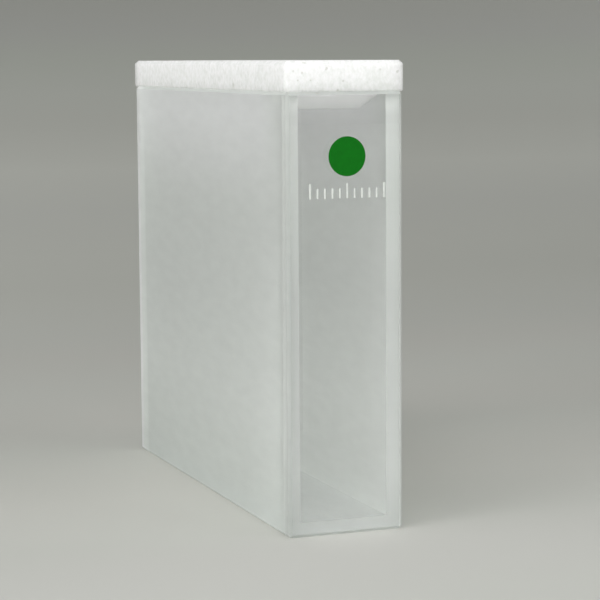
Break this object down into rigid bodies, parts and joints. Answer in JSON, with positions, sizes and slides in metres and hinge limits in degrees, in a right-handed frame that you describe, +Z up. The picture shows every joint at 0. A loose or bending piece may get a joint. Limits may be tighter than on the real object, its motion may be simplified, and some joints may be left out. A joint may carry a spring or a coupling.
{
  "type": "cuvette",
  "caption": "Rectangular absorption cell with polished end windows, ground side walls, a let-in base and a flat lid that drops into the mouth by a shallow plug.",
  "frame": {"origin": "middle of the footprint, on the surface the cell stands on", "axes": "+Y along the light path from the front window to the rear window, +X across the cell to the right when looking along +Y, +Z up to the lid"},
  "size_m": [0.0128, 0.0526, 0.0481],
  "materials": {
    "polished_silica": "optically polished, clear",
    "ground_silica": "fine ground outside, frosted and translucent",
    "white_ptfe": "milled, waxy matte"
  },
  "bodies": {
    "root": {"front_window": "polished_silica", "rear_window": "polished_silica", "left_side_wall": "ground_silica", "right_side_wall": "ground_silica", "base_plate": "ground_silica", "lid": "white_ptfe"}
  },
  "joints": []
}
